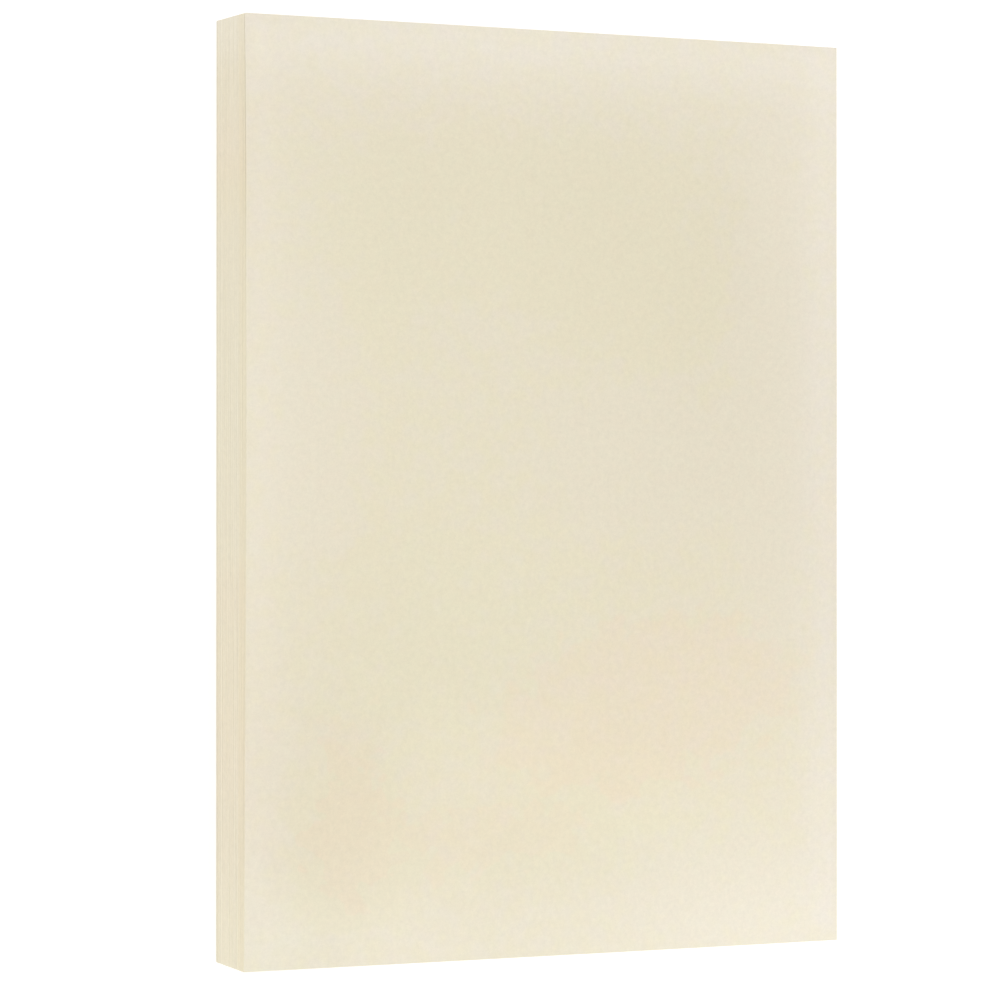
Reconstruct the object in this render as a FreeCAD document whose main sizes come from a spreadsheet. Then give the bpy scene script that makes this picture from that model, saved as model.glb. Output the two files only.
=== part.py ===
"""A pack of bristol card stock, lying flat: loose A4 sheets, squared up into one stack.

Lengths are millimetres and angles are degrees. X runs across the sheets, Y along them and Z up.
The origin is the middle of the face that the pack lies on. The pack holds nothing but sheets:
each one is a separate guillotined rectangle that lies face to face on the sheet below it.

The sheets are numbered from 1 at the top. Squaring up by hand leaves each one a few hundredths
of a millimetre out of line, and leaves the whole stack leaning slightly along its length.
"""
import FreeCAD, Part

import os

# Driving dimensions: name in the sheet of dimensions, value, and what it is.
DIMENSIONS = (
    ("sheet_width", 210.0, "short side of an A4 sheet"),
    ("sheet_length", 297.0, "long side of an A4 sheet"),
    ("sheet_caliper", 0.263, "thickness of one sheet of 160 g vellum bristol"),
    ("sheet_count", 100, "sheets in the pack"),
    ("pack_lean", 0.5, "how much further down the pack's length its top sheet lies than its bottom sheet"),
    ("jog_across", 0.08, "most that a sheet stands out of line across the pack"),
    ("jog_along", 0.08, "most that a sheet stands out of line along the pack"),
    ("sheet_skew", 0.012, "most that a sheet is turned out of line, in degrees"),
)

# Two turns per sheet, in degrees, that never fall into step: their sines scatter the sheets.
GOLDEN_TURN = 137.508
SECOND_TURN = 81.47

# The top and bottom sheets are items of their own, and the sheets between them share these.
MOST_INNER_GROUPS = 58


def make_dimension_sheet(document):
    """Adds the spreadsheet that every size is bound to."""
    dimensions = document.addObject("Spreadsheet::Sheet", "Dimensions")
    for row, (name, value, meaning) in enumerate(DIMENSIONS, start=1):
        dimensions.set(f"A{row}", name)
        dimensions.set(f"B{row}", str(value))
        dimensions.set(f"C{row}", meaning)
        dimensions.setAlias(f"B{row}", name)
    document.recompute()
    return dimensions


def scatter(number, start):
    """An expression between -1 and 1, near 0 for most sheets, that differs from sheet to sheet."""
    return f"sin({number} * {GOLDEN_TURN} + {start}) * sin({number} * {SECOND_TURN} + {2 * start})"


def make_sheet(document, number):
    """Adds sheet `number` of the pack, turned about its own middle and laid on the one below."""
    card = document.addObject("Part::Box", f"Sheet_{number:03d}")
    card.Label = f"sheet_{number:03d}"
    card.setExpression("Length", "Dimensions.sheet_width")
    card.setExpression("Width", "Dimensions.sheet_length")
    card.setExpression("Height", "Dimensions.sheet_caliper")

    # 0.5 at the bottom sheet and -0.5 at the top one, so the lean is shared out about the middle
    depth = f"(({number} - 1) / (Dimensions.sheet_count - 1) - 0.5)"
    turn = f"Dimensions.sheet_skew * {scatter(number, 20)}"
    middle_x = f"Dimensions.jog_across * {scatter(number, 50)}"
    middle_y = f"Dimensions.jog_along * {scatter(number, 110)} + Dimensions.pack_lean * {depth}"

    # a box is placed by its corner, which the turn carries round the sheet's middle
    half_width = "Dimensions.sheet_width / 2"
    half_length = "Dimensions.sheet_length / 2"
    card.setExpression("Placement.Rotation.Angle", turn)
    card.setExpression(
        "Placement.Base.x",
        f"{middle_x} - {half_width} * cos({turn}) + {half_length} * sin({turn})",
    )
    card.setExpression(
        "Placement.Base.y",
        f"{middle_y} - {half_width} * sin({turn}) - {half_length} * cos({turn})",
    )
    card.setExpression(
        "Placement.Base.z",
        f"(Dimensions.sheet_count - {number}) * Dimensions.sheet_caliper",
    )
    return card


def group_numbers(sheet_count):
    """Names the pack's items and lists the sheets in each, from the top sheet down."""
    inner = range(2, sheet_count)
    group_size = -(-len(inner) // MOST_INNER_GROUPS)
    groups = [("top_sheet", [1])]
    for first in inner[::group_size]:
        numbers = [number for number in inner if first <= number < first + group_size]
        span = "_".join(f"{number:03d}" for number in sorted({numbers[0], numbers[-1]}))
        groups.append((f"sheets_{span}", numbers))
    groups.append(("bottom_sheet", [sheet_count]))
    return groups


def make_group(document, name, numbers):
    """Adds one item of the pack, made of separate sheets that lie on each other."""
    cards = [make_sheet(document, number) for number in numbers]
    group = document.addObject("Part::Compound", f"Group_{numbers[0]:03d}")
    group.Label = name
    group.Links = cards
    return group


def check(document, groups, dimensions):
    """Stops with a message unless every object is sound and every sheet has its full volume."""
    for item in document.Objects:
        if "Invalid" in item.State or "Error" in item.State:
            raise RuntimeError(f"{item.Label} failed to recompute: {item.State}")
    sheet_volume = dimensions.sheet_width * dimensions.sheet_length * dimensions.sheet_caliper
    for group, numbers in groups:
        if group.Shape.isNull() or not group.Shape.isValid():
            raise RuntimeError(f"{group.Label} has no valid shape")
        if len(group.Shape.Solids) != len(numbers):
            raise RuntimeError(f"{group.Label} doesn't hold one solid for each sheet")
        for solid in group.Shape.Solids:
            if abs(solid.Volume / sheet_volume - 1) > 1e-6:
                raise RuntimeError(f"{group.Label} holds a sheet of the wrong volume")


def main():
    """Builds the pack and writes each of its items to a file."""
    document = FreeCAD.newDocument("BristolPack")
    dimensions = make_dimension_sheet(document)
    groups = [
        (make_group(document, name, numbers), numbers)
        for name, numbers in group_numbers(int(dimensions.sheet_count))
    ]
    document.recompute()
    check(document, groups, dimensions)

    os.makedirs("parts", exist_ok=True)
    for group, _ in groups:
        group.Shape.exportStep(f"parts/{group.Label}.step")
    print(f"{int(dimensions.sheet_count)} sheets in {len(groups)} items")


main()
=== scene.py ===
"""Dresses a pack of ivory bristol card: loose A4 sheets lying flat in one squared-up stack.

Every sheet is rebuilt around the frame's own sheet as a closed shell with the softened rim that a
guillotine leaves, so that the stack's four sides show real joints between sheets. Lengths are metres
unless a name says otherwise, in the frame's axes: X across the sheets, Y along them, Z up from the
surface that the stack lies on.
"""

import logging
import math
from dataclasses import dataclass
from enum import Enum
from typing import Mapping, Sequence, Union

import bpy
import numpy as np
from mathutils import Matrix, Vector

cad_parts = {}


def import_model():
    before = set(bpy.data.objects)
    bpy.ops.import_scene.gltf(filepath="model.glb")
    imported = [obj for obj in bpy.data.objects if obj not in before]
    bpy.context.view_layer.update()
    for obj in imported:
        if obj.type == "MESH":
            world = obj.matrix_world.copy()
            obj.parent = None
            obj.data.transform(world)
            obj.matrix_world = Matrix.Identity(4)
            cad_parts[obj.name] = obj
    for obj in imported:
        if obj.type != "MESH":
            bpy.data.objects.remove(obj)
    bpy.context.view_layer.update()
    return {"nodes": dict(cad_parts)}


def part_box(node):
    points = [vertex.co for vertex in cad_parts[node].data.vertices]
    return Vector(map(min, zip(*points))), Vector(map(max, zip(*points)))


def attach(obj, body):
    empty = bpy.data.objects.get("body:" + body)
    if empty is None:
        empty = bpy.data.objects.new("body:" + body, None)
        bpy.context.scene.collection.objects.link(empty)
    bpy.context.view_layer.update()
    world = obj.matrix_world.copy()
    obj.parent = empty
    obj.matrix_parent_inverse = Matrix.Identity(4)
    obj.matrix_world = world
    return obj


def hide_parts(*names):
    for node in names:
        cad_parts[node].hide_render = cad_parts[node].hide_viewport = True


log = logging.getLogger("bristol_pack")

MM = 0.001
# per-point rim tint: each sheet's own tint, less the painted shadow of open joints beside it
TINT_AND_SHADOW_ATTRIBUTE = "sheet_tint_and_painted_shadow"
WARMTH_ATTRIBUTE = "sheet_warmth"
BAKE_MAP = "OFBake"
SHARP_EDGE_DEG = 20.0
LEVEL_DIGITS = 6  # levels this many digits alike are one level
CORNER_DIGITS = 7
ANY_HEIGHT = 1000.0  # a reach so long that height doesn't count

Colour = tuple[float, float, float]
Place = tuple[float, float, float]
Size = tuple[float, float, float]
Number = Union[float, "Value"]

WHITE: Colour = (1.0, 1.0, 1.0)
BLUSH: Colour = (1.016, 0.9815, 0.983)


# -------- shader arithmetic


class Value:
    """A socket that takes part in arithmetic: each operator adds the Math node that works it out."""

    def __init__(self, graph: "Graph", socket: bpy.types.NodeSocket) -> None:
        """Wraps one output socket of a graph's node."""
        self.graph = graph
        self.socket = socket

    def _math(self, operation: str, first: Number, second: Number) -> "Value":
        """Adds a Math node that works on two numbers or sockets."""
        return self.graph.add("ShaderNodeMath", {"operation": operation}, {0: first, 1: second})

    def __add__(self, other: Number) -> "Value":
        """Sum."""
        return self._math("ADD", self, other)

    def __radd__(self, other: Number) -> "Value":
        """Sum, reflected."""
        return self._math("ADD", other, self)

    def __sub__(self, other: Number) -> "Value":
        """Difference."""
        return self._math("SUBTRACT", self, other)

    def __rsub__(self, other: Number) -> "Value":
        """Difference, reflected."""
        return self._math("SUBTRACT", other, self)

    def __mul__(self, other: Number) -> "Value":
        """Product."""
        return self._math("MULTIPLY", self, other)

    def __rmul__(self, other: Number) -> "Value":
        """Product, reflected."""
        return self._math("MULTIPLY", other, self)

    def clamped(self) -> "Value":
        """The value kept between 0 and 1."""
        return self.graph.add("ShaderNodeClamp", {}, {"Value": self, "Min": 0.0, "Max": 1.0})


class Graph:
    """The node tree of one material or world, and the one method that adds nodes to it."""

    def __init__(self, tree: bpy.types.NodeTree) -> None:
        """Takes over a node tree and empties it."""
        self.tree = tree
        tree.nodes.clear()

    def add(
        self,
        kind: str,
        settings: Mapping[str, object],
        inputs: Mapping[Union[str, int], object],
        output: Union[str, int] = 0,
    ) -> Value:
        """Adds a node, sets it up and feeds it.

        Args:
            kind: The node's Blender type.
            settings: Its properties, set before its sockets.
            inputs: Socket names or numbers, with a Value to link or a plain value to set.
            output: The socket that the result stands for.

        Returns:
            The chosen output, ready for arithmetic.
        """
        node = self.tree.nodes.new(kind)
        for name, setting in settings.items():
            setattr(node, name, setting)
        for name, given in inputs.items():
            if isinstance(given, Value):
                self.tree.links.new(given.socket, node.inputs[name])
            else:
                node.inputs[name].default_value = given
        return Value(self, node.outputs[output] if len(node.outputs) else None)

    def attribute(self, name: str) -> Value:
        """A number stored on the mesh."""
        return self.add("ShaderNodeAttribute", {"attribute_name": name}, {}, "Fac")

    def mix(self, share: Number, first: Colour, second: Colour) -> Value:
        """Blends two colours, from the first at 0 to the second at 1, and on beyond both."""
        inputs = {"Factor": share, 6: (*first, 1.0), 7: (*second, 1.0)}
        return self.add("ShaderNodeMix", {"data_type": "RGBA", "clamp_factor": False}, inputs, 2)

    def vector(self, operation: str, *inputs: object) -> Value:
        """Adds a Vector Math node that works on vectors or colours."""
        return self.add("ShaderNodeVectorMath", {"operation": operation}, dict(enumerate(inputs)))

    def axis(self, vector: Value, name: str) -> Value:
        """One axis of a vector: X, Y or Z."""
        return self.add("ShaderNodeSeparateXYZ", {}, {0: vector}, name)

    def place(self) -> Value:
        """The point being shaded, in the object's own metres."""
        return self.add("ShaderNodeTexCoord", {}, {}, "Object")

    def seen_from(self, place: Value, start: Place, turn_deg: Size, size: Size) -> Value:
        """A place in the axes of a pattern that starts elsewhere, is turned and has its own size."""
        inputs = {"Vector": place, "Location": start, "Rotation": np.radians(turn_deg), "Scale": size}
        return self.add("ShaderNodeMapping", {"vector_type": "TEXTURE"}, inputs)

    def fractal(self, place: Value, scale: float, detail: float, roughness: float, output: str) -> Value:
        """Fractal noise from 0 to 1, as a number or a colour."""
        inputs = {"Vector": place, "Scale": scale, "Detail": detail, "Roughness": roughness}
        return self.add("ShaderNodeTexNoise", {}, inputs, output)

    def noise(
        self, size: Size, detail: float, roughness: float = 0.5, turn_deg: Size = (0, 0, 0), shift: float = 0
    ) -> Value:
        """Fractal noise about 0, whose grain is `size` metres along its own X, Y and Z.

        Args:
            size: The grain's size along each axis.
            detail: How many finer layers it has.
            roughness: How strong each finer layer is.
            turn_deg: How far the grain is turned about each axis.
            shift: How far the pattern is moved, so that two of one size differ.

        Returns:
            The noise, roughly between -0.5 and 0.5.
        """
        grain = self.seen_from(self.place(), (shift,) * 3, turn_deg, size)
        return self.fractal(grain, 1.0, detail, roughness, "Fac") - 0.5

    def wandering_place(self, wander: float, grain: float) -> Value:
        """The point being shaded, moved about: place + 2 wander x (coloured noise - 0.5).

        Args:
            wander: How far it moves at most.
            grain: How long the waves are that it moves in.

        Returns:
            The moved point.
        """
        place = self.place()
        drift = self.fractal(place, 1 / grain, detail=2.0, roughness=0.5, output="Color")
        start = self.vector("ADD", place, (-wander,) * 3)
        return self.vector("MULTIPLY_ADD", drift, (2 * wander,) * 3, start)

    def bump(self, height: Value, distance: float) -> Value:
        """The surface's normal, tilted as if `height` from 0 to 1 stood `distance` proud."""
        return self.add("ShaderNodeBump", {}, {"Height": height, "Distance": distance, "Strength": 1.0})

    def close(
        self,
        inputs: Mapping[str, object],
        shader: str = "ShaderNodeBsdfPrincipled",
        end: str = "ShaderNodeOutputMaterial",
    ) -> None:
        """Adds the shader that the whole graph leads to, and the output node that ends it."""
        self.add(end, {}, {"Surface": self.add(shader, {}, inputs)})


def new_material(name: str) -> tuple[bpy.types.Material, Graph]:
    """Makes an empty material.

    Args:
        name: Its name.

    Returns:
        The material, and the graph to fill.
    """
    material = bpy.data.materials.new(name)
    material.use_nodes = True
    return material, Graph(material.node_tree)


# -------- finishes


@dataclass(frozen=True)
class Cloud:
    """A broad oval where the card's colour changes; lengths in millimetres.

    Pink is how far the card goes towards its blush, or away from it below 0. Tone is painted light and
    shade: what the card gains in lightness where more light falls on it, and loses below 0 where shade
    falls. Blue shifts the balance of its small patches from the yellower ivory to the bluer one. Pink
    and blue are the card's own colour. An edge above 1 makes the oval even inside, with a quick border.
    """

    across: float
    along: float
    reach_across: float
    reach_along: float
    turn_deg: float = 0.0
    pink: float = 0.0
    tone: float = 0.0
    blue: float = 0.0
    edge: float = 1.0


def add_clouds(graph: Graph, clouds: Sequence[Cloud], place: Value) -> Value:
    """Adds up a set of clouds: each counts edge x (1 - d2), kept from 0 to 1.

    Here d2 is the squared distance from the oval's middle, in reaches.

    Args:
        graph: The material's graph.
        clouds: The ovals.
        place: The point being shaded.

    Returns:
        A vector of their pink, tone (painted light and shade) and blue, each added up.
    """
    total: Union[Value, Colour] = (0.0, 0.0, 0.0)
    for cloud in clouds:
        middle = (cloud.across * MM, cloud.along * MM, 0.0)
        reach = (cloud.reach_across * MM, cloud.reach_along * MM, ANY_HEIGHT)
        away = graph.seen_from(place, middle, (0.0, 0.0, cloud.turn_deg), reach)
        apart = graph.add("ShaderNodeVectorMath", {"operation": "DOT_PRODUCT"}, {0: away, 1: away}, "Value")
        share = ((1.0 - apart) * cloud.edge).clamped()
        total = graph.vector("MULTIPLY_ADD", share, (cloud.pink, cloud.tone, cloud.blue), total)
    return total


def blushed(graph: Graph, colour: Value, share: Value) -> Value:
    """A colour multiplied by the blush to the degree of a share, from 0 for none to 1 for all."""
    return graph.vector("MULTIPLY", colour, graph.mix(share, WHITE, BLUSH))


@dataclass(frozen=True)
class CardFace:
    """The vellum face of the card: matt, softly mottled, with a fine felt-like tooth."""

    yellow: Colour = (0.751, 0.694, 0.5215)
    blue: Colour = (0.751, 0.692, 0.549)
    blushes: tuple[Cloud, ...] = (
        Cloud(34, -68, 62, 27, turn_deg=12, pink=1.0, edge=4.0),
        Cloud(-70, -106, 14, 25, pink=1.0, edge=4.0),
        Cloud(-71, -79, 7, 14, pink=0.5, edge=4.0),
        Cloud(-28, -109, 44, 10, pink=0.75, edge=3.0),
    )
    # The clouds' tone is painted light and shade on the face: lighter margins and corners where more light
    # falls, and darker areas in shade. Their pink and blue are the card's own colour.
    clouds: tuple[Cloud, ...] = (
        Cloud(-28, -54, 62, 46, pink=-0.3),
        Cloud(10, -112, 90, 16, pink=-0.3),
        Cloud(-50, 122, 60, 18, pink=0.2),
        Cloud(-72, 10, 26, 75, pink=0.2),
        Cloud(34, 95, 60, 60, tone=-0.014),
        Cloud(60, 50, 22, 60, tone=-0.008),
        Cloud(-15, 30, 62, 75, tone=0.015),
        Cloud(-5, -30, 50, 28, tone=0.006),
        Cloud(-86, 65, 34, 95, tone=0.014),
        Cloud(-78, -100, 24, 50, tone=-0.011),
        Cloud(-32, -86, 30, 26, tone=0.02),
        Cloud(22, -98, 44, 22, tone=0.011),
        Cloud(8, -132, 46, 28, tone=-0.011),
        Cloud(-103, -147, 30, 34, tone=0.028, pink=-0.5),
        Cloud(-62, -142, 34, 20, tone=0.016),
        Cloud(103, -128, 20, 34, tone=-0.02),
        Cloud(102, -40, 14, 85, tone=-0.012),
        Cloud(84, 98, 22, 28, tone=0.014),
        Cloud(60, 140, 60, 14, tone=-0.007),
        Cloud(0, -80, 24, 18, tone=0.012),
        Cloud(-44, -120, 24, 14, tone=0.011),
        Cloud(-80, -146, 14, 12, tone=-0.011),
        Cloud(-105, 148, 8, 34, tone=0.018),
        Cloud(-105, -50, 5, 120, tone=0.012),
        Cloud(-105, -135, 5, 40, tone=0.008),
        Cloud(105, 112, 14, 60, tone=0.01),
        Cloud(106, -8, 12, 30, tone=0.006, pink=0.4),
        Cloud(24, -86, 90, 50, tone=0.004),
        Cloud(24, 34, 70, 60, tone=-0.003),
        Cloud(-12, 86, 74, 34, blue=-0.8, edge=2.0),
        Cloud(34, 62, 38, 26, blue=-0.6, edge=2.0),
        Cloud(-56, 62, 20, 22, blue=-0.4, edge=1.5),
        Cloud(-46, -40, 40, 44, blue=-0.5, edge=1.5),
        Cloud(-72, -112, 30, 32, blue=-0.7, edge=1.5),
        Cloud(-20, -118, 40, 16, blue=-0.4),
        Cloud(30, 10, 46, 32, blue=0.9, edge=1.5),
        Cloud(-28, 58, 26, 14, blue=0.5),
        Cloud(0, -12, 12, 40, blue=-0.4),
        Cloud(16, -98, 42, 30, blue=-0.5),
        Cloud(-98, -110, 12, 50, blue=0.5),
        Cloud(-20, 104, 84, 12, blue=-0.7),
        Cloud(-66, 30, 12, 50, blue=-0.5),
        Cloud(28, -12, 14, 30, blue=-0.4),
        Cloud(-80, 20, 22, 50, blue=0.8, edge=1.5),
        Cloud(80, 40, 18, 110, blue=1.0, edge=1.6),
        Cloud(56, -128, 40, 20, blue=0.6, edge=1.5),
    )
    cloud_wander: float = 11 * MM
    cloud_grain: float = 11 * MM
    blush_wander: float = 20 * MM
    blush_grain: float = 8 * MM
    flush: float = 6 * MM
    flush_strength: float = 1.3
    flush_shift: float = 50 * MM
    patch: float = 6.5 * MM
    patch_strength: float = 3.5
    mottle: float = 1.9 * MM
    mottle_strength: float = 0.17
    tooth: float = 0.42 * MM
    tooth_strength: float = 0.05
    tooth_height: float = 0.022 * MM
    fibre: Size = (0.16 * MM, 1.5 * MM, 1.0 * MM)
    fibre_turns_deg: tuple[float, ...] = (25.0, 95.0, 150.0)
    fibre_strength: float = 0.5
    roughness: float = 0.88
    roughness_swing: float = 0.1
    specular: float = 0.22

    def build(self) -> bpy.types.Material:
        """Makes the material.

        The colour changes between a yellower and a bluer ivory in small patches, whose balance the
        clouds shift. It is multiplied by the blush to the degree that the blushes, the clouds' pink
        and small flushes add up to, and by 1 + the clouds' tone, which is painted light and shade, +
        mottle + tooth. The tooth is fine grain with short fibres lying three ways. It is also the bump's
        height, so light and colour agree.

        Returns:
            The finished material.
        """
        material, graph = new_material("vellum_face")
        drifting = graph.wandering_place(self.cloud_wander, self.cloud_grain)
        cloudy = add_clouds(graph, self.clouds, drifting)
        straying = graph.wandering_place(self.blush_wander, self.blush_grain)
        flushed = add_clouds(graph, self.blushes, straying)
        flush = graph.noise((self.flush,) * 3, detail=1.5, roughness=0.6, shift=self.flush_shift)
        patch = graph.noise((self.patch,) * 3, detail=1.5, roughness=0.6)
        mottle = graph.noise((self.mottle,) * 3, detail=3.0, roughness=0.9)
        tooth = graph.noise((self.tooth,) * 3, detail=3.0, roughness=0.65)
        for turn in self.fibre_turns_deg:
            fibres = graph.noise(self.fibre, detail=1.0, turn_deg=(0.0, 0.0, turn), shift=turn)
            tooth = tooth + fibres * self.fibre_strength
        blue = (patch * self.patch_strength + graph.axis(cloudy, "Z") + 0.5).clamped()
        pink = graph.axis(flushed, "X").clamped() + graph.axis(cloudy, "X") + flush * self.flush_strength
        ivory = graph.mix(blue, self.yellow, self.blue)
        # painted light and shade from the clouds' tone, with the card's own mottle and tooth
        tone = 1.0 + graph.axis(cloudy, "Y") + mottle * self.mottle_strength + tooth * self.tooth_strength
        graph.close(
            {
                "Base Color": graph.vector("MULTIPLY", blushed(graph, ivory, pink), tone),
                "Roughness": self.roughness + tooth * self.roughness_swing,
                "Specular IOR Level": self.specular,
                "Normal": graph.bump(tooth, self.tooth_height),
            }
        )
        return material


@dataclass(frozen=True)
class CutEdge:
    """The guillotined rim of the card: open fibre, coloured a little lighter than the face.

    The extra lightness is painted light that brings the stack's shaded sides up to the brightness of its
    top.
    """

    # a little lighter than the face's colours: painted light for the shaded sides
    colour: Colour = (0.775, 0.716, 0.5735)
    warm_colour: Colour = (0.776, 0.7025, 0.5315)
    tint_strength: float = 0.03
    # The clouds' tone is painted light on the rim near the stack's four corners; their pink and blue are the
    # card's own colour.
    clouds: tuple[Cloud, ...] = (
        Cloud(-105, 150, 16, 20, tone=0.028, blue=0.75),
        Cloud(-105, -150, 16, 36, tone=0.025, pink=-0.4),
        Cloud(105, 150, 16, 20, tone=0.03),
        Cloud(105, -150, 16, 36, tone=0.028),
        Cloud(-105, 108, 12, 14, pink=0.4),
        Cloud(-105, 96, 12, 12, blue=-0.4),
        Cloud(-105, 30, 12, 75, pink=-0.35),
        Cloud(-105, -32, 12, 12, pink=0.35),
        Cloud(-105, -50, 12, 32, blue=-0.2),
        Cloud(-105, -82, 12, 22, pink=0.3),
    )
    drift: Size = (45 * MM, 45 * MM, 0.3 * MM)
    drift_strength: float = 0.06
    run: Size = (7 * MM, 7 * MM, 0.3 * MM)
    run_strength: float = 0.08
    mottle: Size = (1.8 * MM, 1.8 * MM, 1.4 * MM)
    mottle_strength: float = 0.14
    fibre: Size = (0.8 * MM, 0.8 * MM, 0.05 * MM)
    fibre_strength: float = 0.1
    knife: Size = (0.6 * MM, 0.6 * MM, 60 * MM)
    knife_turn_deg: Size = (9.0, -9.0, 0.0)
    knife_strength: float = 0.05
    fuzz_height: float = 0.01 * MM
    roughness: float = 0.93
    roughness_swing: float = 0.08
    specular: float = 0.2

    def build(self) -> bpy.types.Material:
        """Makes the material.

        The colour runs from the plain to the warm one by each sheet's warmth, less the clouds' blue. It
        is multiplied by the blush to the degree of the clouds' pink, and by 1 + the clouds' tone, which is
        painted light near the stack's corners, + the sheet's own tint, less painted shadow at open joints,
        + slow and quick changes of each sheet along its length + mottle + fibre + knife marks. Fibres lie
        in the sheet, so on the rim they are long along it and thin in height. Knife marks run down the rim,
        slightly slanted.

        Returns:
            The finished material.
        """
        material, graph = new_material("cut_edge")
        cloudy = add_clouds(graph, self.clouds, graph.place())
        fibre = graph.noise(self.fibre, detail=2.0, roughness=0.6)
        knife = graph.noise(self.knife, detail=2.0, roughness=0.6, turn_deg=self.knife_turn_deg)
        # painted light from the clouds' tone and painted joint shadow in the tint, with the rim's own tint
        # and marks
        tone = (
            1.0
            + graph.axis(cloudy, "Y")
            + graph.attribute(TINT_AND_SHADOW_ATTRIBUTE) * self.tint_strength
            + graph.noise(self.drift, detail=1.0) * self.drift_strength
            + graph.noise(self.run, detail=1.0) * self.run_strength
            + graph.noise(self.mottle, detail=2.0, roughness=0.8) * self.mottle_strength
            + fibre * self.fibre_strength
            + knife * self.knife_strength
        )
        warmth = graph.attribute(WARMTH_ATTRIBUTE) - graph.axis(cloudy, "Z")
        base = graph.mix(warmth, self.colour, self.warm_colour)
        shaded = blushed(graph, base, graph.axis(cloudy, "X"))
        graph.close(
            {
                "Base Color": graph.vector("MULTIPLY", shaded, tone),
                "Roughness": self.roughness + fibre * self.roughness_swing,
                "Specular IOR Level": self.specular,
                "Normal": graph.bump(fibre + knife, self.fuzz_height),
            }
        )
        return material


@dataclass(frozen=True)
class PaleFloor:
    """A plain, matt, near-white studio table top, lit faintly from below."""

    colour: Colour = (0.9, 0.9, 0.9)
    glow: float = 0.24

    def build(self) -> bpy.types.Material:
        """Makes the material.

        Returns:
            The finished material.
        """
        material, graph = new_material("pale_floor")
        graph.close(
            {
                "Base Color": (*self.colour, 1.0),
                "Roughness": 1.0,
                "Specular IOR Level": 0.0,
                "Emission Color": (*WHITE, 1.0),
                "Emission Strength": self.glow,
            }
        )
        return material


# -------- sheets


class Finish(Enum):
    """Which of a sheet's two finishes a face of its mesh takes; the value is its material slot."""

    FACE = 0
    EDGE = 1


@dataclass(frozen=True)
class Blank:
    """One sheet as the frame holds it: a flat rectangle of card at its place in the stack.

    The corners run anticlockwise seen from above, starting at low X and low Y.
    """

    corners: np.ndarray
    bottom: float
    top: float

    @property
    def thickness(self) -> float:
        """How thick the card is."""
        return self.top - self.bottom


@dataclass(frozen=True)
class MeshParts:
    """Points, quads and what goes with them, ready to be joined to others and made a mesh."""

    points: np.ndarray
    quads: np.ndarray
    finishes: np.ndarray
    places: np.ndarray
    tint: np.ndarray
    warmth: np.ndarray


@dataclass(frozen=True)
class SheetGrid:
    """How a sheet's face and rim are divided: a grid whose border is also each ring of the rim."""

    across: int = 14
    along: int = 20

    def shares(self) -> tuple[np.ndarray, np.ndarray]:
        """Where the grid's points lie, as shares of the sheet's width and length.

        Returns:
            The border's points, once round anticlockwise from the first corner, and those inside it.
        """
        u = np.arange(self.across) / self.across
        v = np.arange(self.along) / self.along
        width = np.concatenate([u, np.ones_like(v), 1 - u, np.zeros_like(v)])
        length = np.concatenate([np.zeros_like(u), v, np.ones_like(u), 1 - v])
        inner = np.stack(np.meshgrid(u[1:], v[1:], indexing="ij"), -1)
        return np.stack([width, length], -1), inner.reshape(-1, 2)

    def face_numbers(self, ring_start: int, inner_start: int) -> np.ndarray:
        """Numbers the points of a whole face: once round its border, then those inside it.

        Args:
            ring_start: The number of the first point of its border ring.
            inner_start: The number of the first point inside it.

        Returns:
            The grid of point numbers.
        """
        across, along = self.across, self.along
        numbers = np.full((across + 1, along + 1), -1)
        numbers[0, :] = 2 * across + 2 * along - np.arange(along + 1)
        numbers[:, along] = 2 * across + along - np.arange(across + 1)
        numbers[across, :] = across + np.arange(along + 1)
        numbers[:, 0] = np.arange(across + 1)
        inside = numbers < 0
        numbers += ring_start
        numbers[inside] = inner_start + np.arange(inside.sum())
        return numbers


@dataclass(frozen=True)
class Spot:
    """A place on the stack seen from above.

    Across and along are shares of a sheet, from 0 at low X or Y to 1 at high. The reaches are metres.
    """

    across: float
    along: float
    reach_across: float
    reach_along: float


@dataclass(frozen=True)
class Sink(Spot):
    """A spot where the loose stack has packed down closer than elsewhere, or looser below 0."""

    fall: float
    softness: float = 0.01

    def sunk(self, away: np.ndarray) -> np.ndarray:
        """How far the sink lowers the top of the stack: fall x near(across) x near(along).

        Near is 1 - the distance in reaches, kept above 0 by the soft (n + sqrt(n2 + softness)) / 2.

        Args:
            away: How far points are from the spot, in reaches along X and Y.

        Returns:
            The fall at each point.
        """
        near = 1 - np.abs(away)
        near = (near + np.sqrt(near**2 + self.softness)) / 2
        return self.fall * np.clip(near, 0, 1).prod(axis=1)


@dataclass(frozen=True)
class Opening(Spot):
    """A joint that stands open at the rim, where the sheets above it bow up over an oval patch.

    The joint has the number of the sheet above it, counted from 1 at the top.
    """

    joint: int
    height: float

    def rise(self, away: np.ndarray) -> np.ndarray:
        """How far the joint stands open: height x exp(-(distance in reaches) squared)."""
        return self.height * np.exp(-(away**2).sum(axis=1))


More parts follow.
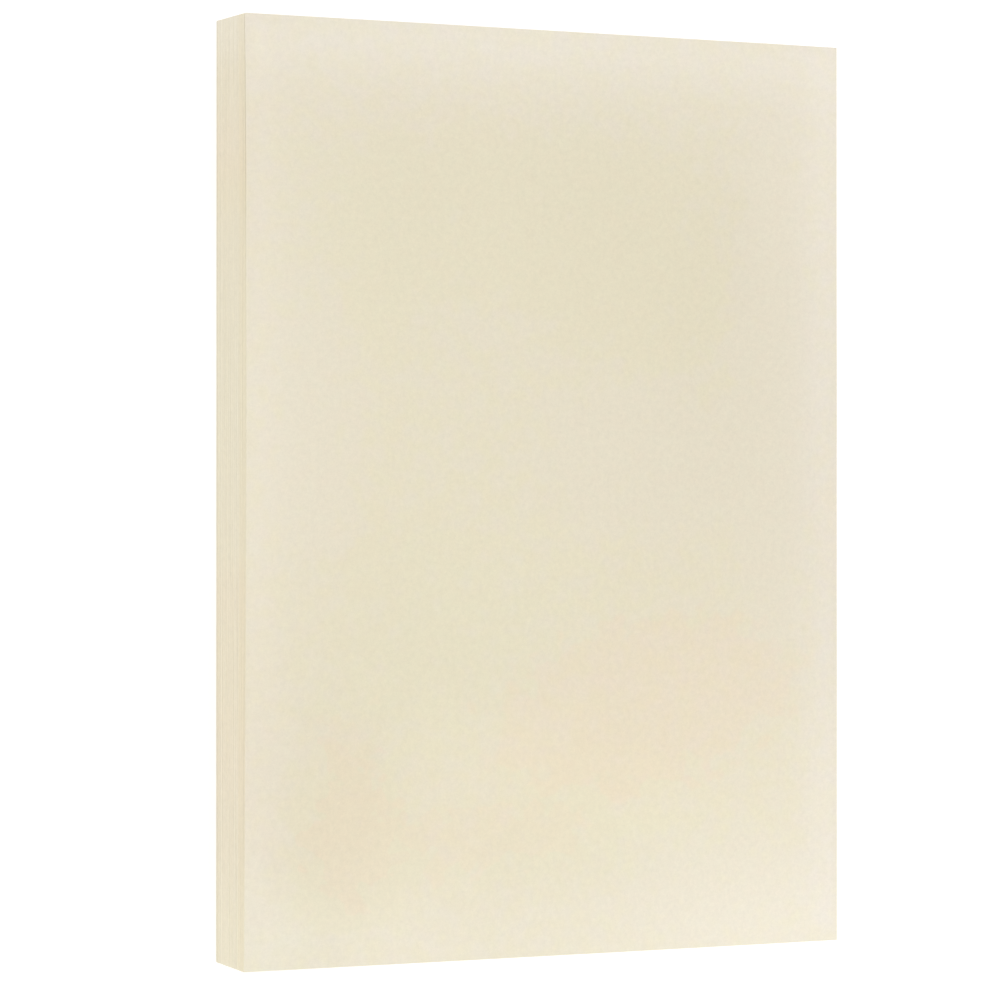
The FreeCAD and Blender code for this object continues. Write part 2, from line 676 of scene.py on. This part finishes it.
@dataclass(frozen=True)
class Stack:
    """The whole stack as it has settled. A sheet's number is counted from 1 at the top."""

    low: np.ndarray
    size: np.ndarray
    height: float
    sinks: tuple[Sink, ...]
    openings: list[Opening]
    # how dark the painted joint shadow is, per metre that a joint stands open
    painted_shadow_per_metre: float = 24.0 / MM

    def away(self, spot: Spot, flat: np.ndarray) -> np.ndarray:
        """How far points are from a spot.

        Args:
            spot: The spot.
            flat: X and Y of each point.

        Returns:
            The distances along X and Y, each in the spot's reaches.
        """
        apart = ((flat - self.low) / self.size - np.array([spot.across, spot.along])) * self.size
        return apart / np.array([spot.reach_across, spot.reach_along])

    def settle(self, flat: np.ndarray, level: np.ndarray, number: int) -> np.ndarray:
        """Moves points of one sheet from their flat level to where they have settled.

        The level shrinks towards the floor by the sinks' share of the stack's height, and rises by
        how far each joint below the sheet stands open.

        Args:
            flat: X and Y of each point.
            level: Its flat level.
            number: The sheet's number.

        Returns:
            The settled level of each point.
        """
        fall = sum(sink.sunk(self.away(sink, flat)) for sink in self.sinks)
        level = level * (1 - fall / self.height)
        for opening in self.openings:
            if opening.joint >= number:
                level = level + opening.rise(self.away(opening, flat))
        return level

    def shade(self, flat: np.ndarray, number: int) -> np.ndarray:
        """How much painted shadow the open joints above and below a sheet put on its rim, by how open they
        are.

        Args:
            flat: X and Y of each point.
            number: The sheet's number.

        Returns:
            What each point's tint loses to that painted shadow.
        """
        total = np.zeros(len(flat))
        for opening in self.openings:
            if opening.joint in (number, number - 1):
                total += opening.rise(self.away(opening, flat))
        return total * self.painted_shadow_per_metre


@dataclass(frozen=True)
class Settling:
    """How the loose stack has settled: packed closer in some places, and open at some joints."""

    sinks: tuple[Sink, ...] = (
        Sink(0.0, 0.0, 130 * MM, 140 * MM, fall=1.6 * MM),
        Sink(0.0, 1.0, 60 * MM, 42 * MM, fall=0.8 * MM),
        Sink(0.0, 0.6, 90 * MM, 105 * MM, fall=-0.4 * MM),
    )
    openings: tuple[Opening, ...] = (
        Opening(0.0, 0.93, 30 * MM, 50 * MM, joint=3, height=0.15 * MM),
        Opening(0.0, 0.86, 20 * MM, 24 * MM, joint=10, height=0.06 * MM),
        Opening(0.0, 0.58, 20 * MM, 60 * MM, joint=4, height=0.05 * MM),
        Opening(0.0, 0.25, 20 * MM, 60 * MM, joint=5, height=0.09 * MM),
    )
    chance_openings: int = 16
    shut_joints: int = 2
    chance_height: float = 0.07 * MM
    chance_heights: tuple[float, float] = (0.3, 1.0)
    chance_reach: float = 40 * MM
    chance_reaches: tuple[float, float] = (0.4, 1.2)
    chance_depth: float = 16 * MM
    seed: int = 7

    def all_openings(self, count: int) -> list[Opening]:
        """The stated openings, and others at chance joints and places along the four sides.

        Args:
            count: How many sheets there are.

        Returns:
            Every opening of the stack.
        """
        chance = np.random.default_rng(self.seed)
        found = list(self.openings)
        for number in range(self.chance_openings):
            joint = int(chance.integers(self.shut_joints, count - self.shut_joints))
            share = chance.uniform(0.0, 1.0)
            height = self.chance_height * chance.uniform(*self.chance_heights)
            reach = self.chance_reach * chance.uniform(*self.chance_reaches)
            side = float(number % 4 < 2)
            if number % 2:
                found.append(Opening(side, share, self.chance_depth, reach, joint, height))
            else:
                found.append(Opening(share, side, reach, self.chance_depth, joint, height))
        return found


@dataclass(frozen=True)
class Rim:
    """How a sheet's cut rim is rounded: each shoulder's size, and how it varies round the sheet."""

    shoulder: float
    swing: float
    waves: np.ndarray
    starts: np.ndarray

    def shoulders(self, share: np.ndarray) -> np.ndarray:
        """The shoulder's radius round the sheet: its size times 1 + swing x the mean of sine waves.

        Args:
            share: How far round the sheet each point is, from 0 to 1.

        Returns:
            The radius at each point.
        """
        angle = 2 * math.pi * np.outer(self.waves, share) + self.starts[:, None]
        return self.shoulder * (1 + self.swing * np.sin(angle).mean(axis=0))


@dataclass(frozen=True)
class BakeLayout:
    """How a piece's texture is divided among its sheets' rims and faces, in shares of its side."""

    margin: float = 0.02
    gap: float = 0.008
    reach: float = 0.96
    strip: float = 0.012
    small: tuple[float, float] = (0.1, 0.14)
    small_pitch: float = 0.12
    large_left: float = 0.16
    large_right: float = 0.98
    large_share: float = 0.98

    def strip_low(self, number: int) -> float:
        """The lower edge of one of the rim's strips, counted from 0 at the top."""
        return 1 - self.gap - (number + 1) * (self.strip + self.gap)

    def large(self, rows: int) -> tuple[float, float]:
        """The width and height of a face that can be seen, under the strips of `rows` sheets."""
        room = self.strip_low(4 * rows - 1) - self.gap
        return self.large_right - self.large_left, room * self.large_share


def rectangle_places(
    low: tuple[float, float], size: tuple[float, float], cells: tuple[int, int], turned: bool
) -> np.ndarray:
    """Where a grid of quads lies on a texture: low + size x (cell + corner) / cells.

    Args:
        low: The lower left corner of its rectangle.
        size: The rectangle's width and height.
        cells: How many quads it has each way.
        turned: Whether a quad's corners run anticlockwise there.

    Returns:
        Four pairs of shares of the texture a quad, as a grid.
    """
    cell = np.stack(np.meshgrid(*(np.arange(count) for count in cells), indexing="ij"), -1)
    order = ((0, 0), (1, 0), (1, 1), (0, 1)) if turned else ((0, 0), (0, 1), (1, 1), (1, 0))
    return np.stack([np.array(low) + np.array(size) * (cell + corner) / cells for corner in order], 2)


@dataclass(frozen=True)
class GuillotinedSheet:
    """One sheet's closed shell: two faces, and a rim with a rounded shoulder above and below."""

    blank: Blank
    number: int
    tint: float
    warmth: float
    rim: Rim
    bake_row: int
    bake_rows: int
    shows_face: bool
    grid: SheetGrid = SheetGrid()
    shoulder_steps: int = 2

    def rim_section(self, shoulders: np.ndarray) -> tuple[np.ndarray, np.ndarray]:
        """The rim's section at each place round the sheet, from the bottom face to the top one.

        Each shoulder is a quarter circle: set in by r(1 - sin a) and up by r(1 - cos a) for a from
        0 to 90 degrees. The upper one is the lower one mirrored.

        Args:
            shoulders: The shoulder's radius at each place.

        Returns:
            How far each point is set in from the cut line and how high it is above the bottom, one
            row a ring and one column a place.
        """
        angle = np.linspace(0, math.pi / 2, self.shoulder_steps + 1)
        inset = np.outer(1 - np.sin(angle), shoulders)
        height = np.outer(1 - np.cos(angle), shoulders)
        above = self.blank.thickness - height[::-1]
        return np.concatenate([inset, inset[::-1]]), np.concatenate([height, above])

    def corner_insets(self) -> np.ndarray:
        """How each corner moves for one unit of inset from both of the cut lines that meet there.

        Returns:
            One move a corner: the sum of the two lines' inward normals.
        """
        corners = self.blank.corners
        sides = np.roll(corners, -1, axis=0) - corners
        sides /= np.linalg.norm(sides, axis=1, keepdims=True)
        inward = np.stack([-sides[:, 1], sides[:, 0]], axis=1)
        return inward + np.roll(inward, 1, axis=0)

    @staticmethod
    def across_corners(corners: np.ndarray, shares: np.ndarray) -> np.ndarray:
        """Points of a four-cornered patch: the two-way linear blend of its corners.

        Args:
            corners: The four corners, anticlockwise.
            shares: Each point's share of the width and of the length.

        Returns:
            The points.
        """
        u, v = shares[:, :1], shares[:, 1:]
        low = corners[0] * (1 - u) + corners[1] * u
        high = corners[3] * (1 - u) + corners[2] * u
        return low * (1 - v) + high * v

    def points(self, stack: Stack) -> np.ndarray:
        """Works out every point of the shell.

        Args:
            stack: The stack that the sheet is in.

        Returns:
            The rim's points ring by ring, then those inside the bottom face and the top face.
        """
        border, inner = self.grid.shares()
        inset, height = self.rim_section(self.rim.shoulders(np.arange(len(border)) / len(border)))
        outline = self.across_corners(self.blank.corners, border)
        inward = self.across_corners(self.corner_insets(), border)
        rings = outline + inset[:, :, None] * inward
        face = self.across_corners(self.blank.corners, inner)
        flat = np.concatenate([rings.reshape(-1, 2), face, face])
        faces = np.repeat([0.0, self.blank.thickness], len(face))
        level = self.blank.bottom + np.concatenate([height.ravel(), faces])
        return np.column_stack([flat, stack.settle(flat, level, self.number)])

    def quads(self) -> tuple[np.ndarray, np.ndarray]:
        """The shell's quads, facing outwards, and the finish of each.

        Returns:
            Four point numbers a quad, and one finish a quad: rim, then bottom, then top.
        """
        border = 2 * (self.grid.across + self.grid.along)
        rings = 2 * (self.shoulder_steps + 1)
        inner = (self.grid.across - 1) * (self.grid.along - 1)
        column = np.arange(border)
        beside = (column + 1) % border
        step = border * np.arange(rings - 1)[:, None]
        rim = np.stack([step + column, step + beside, step + beside + border, step + column + border], -1)
        bottom = self.grid.face_numbers(0, rings * border)
        top = self.grid.face_numbers((rings - 1) * border, rings * border + inner)
        under = np.stack([bottom[:-1, :-1], bottom[:-1, 1:], bottom[1:, 1:], bottom[1:, :-1]], -1)
        over = np.stack([top[:-1, :-1], top[1:, :-1], top[1:, 1:], top[:-1, 1:]], -1)
        quads = np.concatenate([part.reshape(-1, 4) for part in (rim, under, over)])
        finishes = np.full(len(quads), Finish.FACE.value)
        finishes[: (rings - 1) * border] = Finish.EDGE.value
        return quads, finishes

    def bake_places(self, layout: BakeLayout) -> np.ndarray:
        """Where each corner of each quad lies on the piece's texture.

        The rim's four sides are strips, one above the other at the top of the texture. The two faces
        share the rest: a face that can be seen takes most of it.

        Args:
            layout: How the texture is divided.

        Returns:
            Four pairs of shares of the texture a quad.
        """
        cells = (self.grid.across, self.grid.along)
        steps = 2 * self.shoulder_steps + 1
        sides = []
        for side, count in enumerate(cells * 2):
            low = (layout.margin, layout.strip_low(4 * self.bake_row + side))
            strip = rectangle_places(low, (layout.reach, layout.strip), (count, steps), turned=True)
            sides.append(strip.swapaxes(0, 1))
        left = layout.margin + 2 * layout.small_pitch * self.bake_row
        under = rectangle_places((left, layout.gap), layout.small, cells, turned=False)
        left, size = left + layout.small_pitch, layout.small
        if self.shows_face:
            left, size = layout.large_left, layout.large(self.bake_rows)
        over = rectangle_places((left, layout.gap), size, cells, turned=True)
        return np.concatenate([part.reshape(-1, 4, 2) for part in (np.hstack(sides), under, over)])

    def build(self, stack: Stack) -> MeshParts:
        """Works out the whole sheet.

        Args:
            stack: The stack that the sheet is in.

        Returns:
            The sheet's points, quads, finishes, texture places and per-point values.
        """
        points = self.points(stack)
        # the sheet's tint, less the painted shadow of the open joints above and below it
        tint = self.tint - stack.shade(points[:, :2], self.number)
        warmth = np.full(len(points), self.warmth)
        return MeshParts(points, *self.quads(), self.bake_places(BakeLayout()), tint, warmth)


@dataclass(frozen=True)
class Lift:
    """A run of sheets that share a tint and warmth, as sheets cut together do; two runs paint light and
    shade.

    Sheets are numbered from 1 at the top. Tint is lighter above 0 and darker below it; warmth runs
    from 0, the plain shade, to 1, the warmest.
    """

    first: int
    last: int
    tint: float
    warmth: float


@dataclass(frozen=True)
class Pack:
    """The stack of card: reads the frame's sheets, and builds one piece for each of its nodes."""

    shoulder: float = 0.032 * MM
    shoulder_spread: float = 0.35
    shoulder_swing: float = 0.7
    shoulder_waves: int = 4
    shoulder_wave_counts: tuple[int, int] = (2, 16)
    tint_spread: float = 0.28
    chance_warmth: tuple[float, float] = (0.1, 0.4)
    seed: int = 20
    settling: Settling = Settling()
    face: CardFace = CardFace()
    edge: CutEdge = CutEdge()
    lifts: tuple[Lift, ...] = (
        Lift(1, 2, 0.3, 0.3),
        Lift(3, 23, -0.1, 0.9),
        Lift(24, 30, -0.3, 0.3),
        Lift(34, 37, -0.4, 0.2),
        Lift(38, 40, -0.8, 0.2),
        Lift(44, 47, 0.5, 0.2),
        Lift(53, 57, -0.3, 0.3),
        Lift(58, 62, 0.4, 0.1),
        Lift(64, 67, 1.0, 0.2),
        Lift(68, 73, -0.2, 0.3),
        # painted highlight: a lighter band where a sheet standing out catches the light
        Lift(80, 83, 1.5, 0.0),
        Lift(91, 94, 0.9, 0.1),
        Lift(95, 98, 0.0, 0.0),
        # painted shade: the bottom two sheets darker where the stack meets the floor
        Lift(99, 100, -1.0, 0.0),
    )

    @staticmethod
    def blanks(node: bpy.types.Object) -> list[Blank]:
        """Reads the sheets that one node of the frame holds, from the top one down.

        A node's triangles stand on a few levels, and a sheet's four walls are the triangles that
        lie between two of them, so their points are that sheet's corners.

        Args:
            node: The frame's node.

        Returns:
            Its sheets.
        """
        mesh = node.data
        points = np.zeros((len(mesh.vertices), 3))
        mesh.vertices.foreach_get("co", points.ravel())
        faces = np.zeros((len(mesh.polygons), 3), int)
        mesh.polygons.foreach_get("vertices", faces.ravel())
        middles = points[faces][:, :, 2].mean(axis=1)
        levels = np.unique(points[:, 2].round(LEVEL_DIGITS))
        found = []
        for bottom, top in zip(levels[:-1], levels[1:]):
            slack = (top - bottom) / 10
            walls = faces[(middles > bottom + slack) & (middles < top - slack)]
            corners = np.unique(points[walls.ravel(), :2].round(CORNER_DIGITS), axis=0)
            centre = corners.mean(axis=0)
            turn = np.arctan2(corners[:, 1] - centre[1], corners[:, 0] - centre[0])
            found.append(Blank(corners[np.argsort(turn)], float(bottom), float(top)))
        return found[::-1]

    def shades(self, count: int) -> tuple[np.ndarray, np.ndarray]:
        """Shades the sheets: a chance tint plus the lift's, and the lift's warmth or a chance one.

        Args:
            count: How many sheets there are.

        Returns:
            Each sheet's tint and warmth.
        """
        chance = np.random.default_rng(self.seed)
        tint = chance.normal(0.0, self.tint_spread, count)
        warmth = chance.uniform(*self.chance_warmth, count)
        number = np.arange(1, count + 1)
        for lift in self.lifts:
            inside = (number >= lift.first) & (number <= lift.last)
            tint = tint + inside * lift.tint
            warmth = np.where(inside, lift.warmth, warmth)
        return tint, warmth

    def rims(self, count: int) -> list[Rim]:
        """Gives each sheet a shoulder of its own size, with its own slow waves round the sheet.

        Args:
            count: How many sheets there are.

        Returns:
            Each sheet's rim.
        """
        chance = np.random.default_rng(self.seed + 1)
        sizes = self.shoulder * (1 + self.shoulder_spread * chance.uniform(-1, 1, count))
        waves = chance.integers(*self.shoulder_wave_counts, (count, self.shoulder_waves))
        starts = chance.uniform(0, 2 * math.pi, (count, self.shoulder_waves))
        return [Rim(size, self.shoulder_swing, *wave) for size, *wave in zip(sizes, waves, starts)]

    def build(self, nodes: Mapping[str, bpy.types.Object]) -> list[bpy.types.Object]:
        """Builds and dresses a piece for each node, and hands the node's place over to it.

        Args:
            nodes: The frame's nodes, each holding one or more sheets.

        Returns:
            The pieces, from the top of the stack down.
        """
        held = {name: self.blanks(node) for name, node in nodes.items()}
        order = sorted(held, key=lambda name: -held[name][0].top)
        count = sum(len(blanks) for blanks in held.values())
        top = held[order[0]][0]
        low, high = top.corners.min(axis=0), top.corners.max(axis=0)
        openings = self.settling.all_openings(count)
        stack = Stack(low, high - low, top.top, self.settling.sinks, openings)
        tint, warmth = self.shades(count)
        rims = self.rims(count)
        materials = [self.face.build(), self.edge.build()]
        pieces = []
        number = 0
        for name in order:
            parts = []
            for row, blank in enumerate(held[name]):
                number += 1
                looks = (tint[number - 1], warmth[number - 1], rims[number - 1])
                sheet = GuillotinedSheet(
                    blank, number, *looks, bake_row=row, bake_rows=len(held[name]), shows_face=number == 1
                )
                parts.append(sheet.build(stack))
            piece = make_piece(f"card_{name}", parts, materials)
            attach(piece, "root")
            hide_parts(name)
            log.info("%s: %d sheet(s), %d quads", piece.name, len(parts), len(piece.data.polygons))
            pieces.append(piece)
        return pieces


def make_piece(
    name: str, parts: Sequence[MeshParts], materials: Sequence[bpy.types.Material]
) -> bpy.types.Object:
    """Joins worked-out parts into one mesh object at the origin.

    Args:
        name: The piece's name.
        parts: The parts to join, which stay separate shells.
        materials: The piece's materials, in the order of the Finish values.

    Returns:
        The new object, linked to the scene.
    """
    starts = np.cumsum([0] + [len(part.points) for part in parts[:-1]])
    points = np.concatenate([part.points for part in parts])
    quads = np.concatenate([part.quads + start for part, start in zip(parts, starts)])
    mesh = bpy.data.meshes.new(name)
    mesh.from_pydata(points.tolist(), [], quads.tolist())
    for material in materials:
        mesh.materials.append(material)
    mesh.polygons.foreach_set("material_index", np.concatenate([part.finishes for part in parts]))
    for attribute, values in (
        (TINT_AND_SHADOW_ATTRIBUTE, [part.tint for part in parts]),
        (WARMTH_ATTRIBUTE, [part.warmth for part in parts]),
    ):
        layer = mesh.attributes.new(attribute, "FLOAT", "POINT")
        layer.data.foreach_set("value", np.concatenate(values).astype(np.float32))
    places = mesh.uv_layers.new(name=BAKE_MAP)
    places.data.foreach_set("uv", np.concatenate([part.places for part in parts]).ravel())
    mesh.shade_smooth()
    mesh.set_sharp_from_angle(angle=math.radians(SHARP_EDGE_DEG))
    mesh.update()
    piece = bpy.data.objects.new(name, mesh)
    bpy.context.scene.collection.objects.link(piece)
    return piece


# -------- studio


@dataclass(frozen=True)
class SoftBox:
    """A rectangular soft light. Across lies along X where the aim allows it."""

    name: str
    place: Place
    aim: Place
    across: float
    along: float
    power: float
    colour: Colour

    def build(self) -> None:
        """Hangs the light at its place and turns it to its aim."""
        lamp = bpy.data.lights.new(self.name, "AREA")
        lamp.shape = "RECTANGLE"
        lamp.size = self.across
        lamp.size_y = self.along
        lamp.energy = self.power
        lamp.color = self.colour
        light = bpy.data.objects.new(self.name, lamp)
        light.location = self.place
        way = Vector(self.aim) - Vector(self.place)
        light.rotation_euler = way.to_track_quat("-Z", "Y").to_euler()
        light.visible_camera = False
        bpy.context.scene.collection.objects.link(light)


@dataclass(frozen=True)
class CameraStand:
    """A long-lens camera above the stack, turned towards its long low-X side.

    It looks at a point of the top face from `distance` away. Turn is its angle from straight above
    towards low X, and tilt raises its aim along the stack; the top of its picture is +Y.
    """

    lens_mm: float = 134.07
    sensor_mm: float = 36.0
    nearest: float = 0.05
    farthest: float = 50.0
    distance: float = 1.1878
    turn_deg: float = 24.856
    tilt_deg: float = 0.15
    aim_across: float = -18.545 * MM
    aim_along: float = -2.23 * MM

    def build(self, face_centre: Vector) -> None:
        """Sets up the camera over the middle of the top face and makes it the scene's.

        The picture's axis is -Z turned by -turn about Y, after +tilt about X.

        Args:
            face_centre: The middle of the stack's top face.
        """
        turned = Matrix.Rotation(-math.radians(self.turn_deg), 4, "Y")
        tilted = Matrix.Rotation(math.radians(self.tilt_deg), 4, "X")
        pose = turned @ tilted
        aim = face_centre + Vector((self.aim_across, self.aim_along, 0.0))
        place = aim + pose.to_3x3() @ Vector((0.0, 0.0, self.distance))
        lens = bpy.data.cameras.new("camera")
        lens.lens = self.lens_mm
        lens.sensor_width = self.sensor_mm
        lens.clip_start, lens.clip_end = self.nearest, self.farthest
        camera = bpy.data.objects.new("camera", lens)
        camera.matrix_world = Matrix.Translation(place) @ pose
        bpy.context.scene.collection.objects.link(camera)
        bpy.context.scene.camera = camera


@dataclass(frozen=True)
class Studio:
    """A plain pale floor in a white surround, with soft lights above and beside the stack.

    The surround is a trace brighter near the horizon. Its heights are sines of the elevation.
    """

    floor_rings: tuple[float, float] = (4.5, 9.0)
    floor_sides: int = 64
    floor_drop: float = 0.05 * MM
    floor: PaleFloor = PaleFloor()
    camera: CameraStand = CameraStand()
    surround: float = 0.92
    horizon: float = 1.0
    horizon_top: float = 0.2
    horizon_fade: float = 0.06
    boxes: tuple[SoftBox, ...] = (
        SoftBox("key", (-0.704, 0.704, 0.836), (0, 0, 0.02), 0.6, 0.6, 1.5, (0.74, 0.8, 1)),
        SoftBox("side_fill", (-0.5, -0.4, 0.12), (-0.1, -0.1, 0), 0.2, 0.2, 0.26, (0.91, 0.89, 1)),
        SoftBox("back_fill", (0.25, 0.25, 0.3), (0.08, 0.08, 0), 0.25, 0.25, 0.12, (1, 0.94, 0.88)),
        SoftBox("front_glow", (0, -0.2, 0.186), (0, -0.1, 0.026), 0.2, 0.05, 0.027, (1, 0.74, 0.13)),
        SoftBox(
            "corner_glow", (0.14, -0.185, 0.146), (0.06, -0.1, 0.026), 0.05, 0.05, 0.036, (0.76, 0.81, 1)
        ),
        SoftBox("left_glow", (-0.1, 0.01, 0.106), (-0.1, 0.01, 0), 0.03, 0.12, 0.0044, (0.72, 0.9, 1)),
        SoftBox("strip_left", (-0.101, 0, 0.036), (-0.101, 0, 0), 0.008, 0.297, 0.0013, (0.6, 0.5, 1)),
        SoftBox("strip_back", (0, 0.1445, 0.046), (0, 0.1445, 0), 0.21, 0.008, 0.0046, (0.48, 0.53, 1)),
        SoftBox("strip_right", (0.101, 0, 0.036), (0.101, 0, 0), 0.008, 0.297, 0.0028, (0.35, 0.4, 1)),
        SoftBox("strip_front", (0, -0.1485, 0.061), (0, -0.1485, 0), 0.21, 0.008, 0.0071, (0.39, 0.53, 1)),
    )

    def lay_floor(self) -> None:
        """Lays the floor: two rings of points about the origin, (r cos a, r sin a) at one level."""
        angle = 2 * math.pi * np.arange(self.floor_sides) / self.floor_sides
        r, a = np.meshgrid(self.floor_rings, angle, indexing="ij")
        level = np.full(r.size, -self.floor_drop)
        points = np.column_stack([(r * np.cos(a)).ravel(), (r * np.sin(a)).ravel(), level])
        inner = np.arange(self.floor_sides)
        beside = (inner + 1) % self.floor_sides
        ring = np.stack([inner, inner + self.floor_sides, beside + self.floor_sides, beside], -1)
        mesh = bpy.data.meshes.new("floor")
        mesh.from_pydata(points.tolist(), [], [inner.tolist(), *ring.tolist()])
        mesh.materials.append(self.floor.build())
        floor = bpy.data.objects.new("floor", mesh)
        bpy.context.scene.collection.objects.link(floor)

    def light_surround(self) -> None:
        """Gives the surround its white: `horizon` low down, and `surround` above `horizon_top`."""
        world = bpy.data.worlds.new("surround")
        world.use_nodes = True
        bpy.context.scene.world = world
        graph = Graph(world.node_tree)
        height = graph.axis(graph.add("ShaderNodeTexCoord", {}, {}, "Generated"), "Z")
        low = ((self.horizon_top - height) * (1.0 / self.horizon_fade)).clamped()
        strength = low * (self.horizon - self.surround) + self.surround
        inputs = {"Color": (*WHITE, 1.0), "Strength": strength}
        graph.close(inputs, "ShaderNodeBackground", "ShaderNodeOutputWorld")

    def build(self, face_centre: Vector) -> None:
        """Sets the whole studio up around the stack.

        Args:
            face_centre: The middle of the stack's top face.
        """
        bpy.context.scene.view_settings.view_transform = "Standard"
        self.camera.build(face_centre)
        self.lay_floor()
        self.light_surround()
        for box in self.boxes:
            box.build()
        log.info("studio: %d soft box(es)", len(self.boxes))


def main() -> None:
    """Loads the frame, sets up the studio, and builds the pack piece by piece."""
    logging.basicConfig(level=logging.INFO, format="%(name)s %(message)s")
    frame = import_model()
    low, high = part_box("top_sheet")
    middle = (low + high) / 2
    Studio().build(Vector((middle.x, middle.y, high.z)))
    pieces = Pack().build(frame["nodes"])
    log.info("pack: %d pieces", len(pieces))


if __name__ == "__main__":
    main()
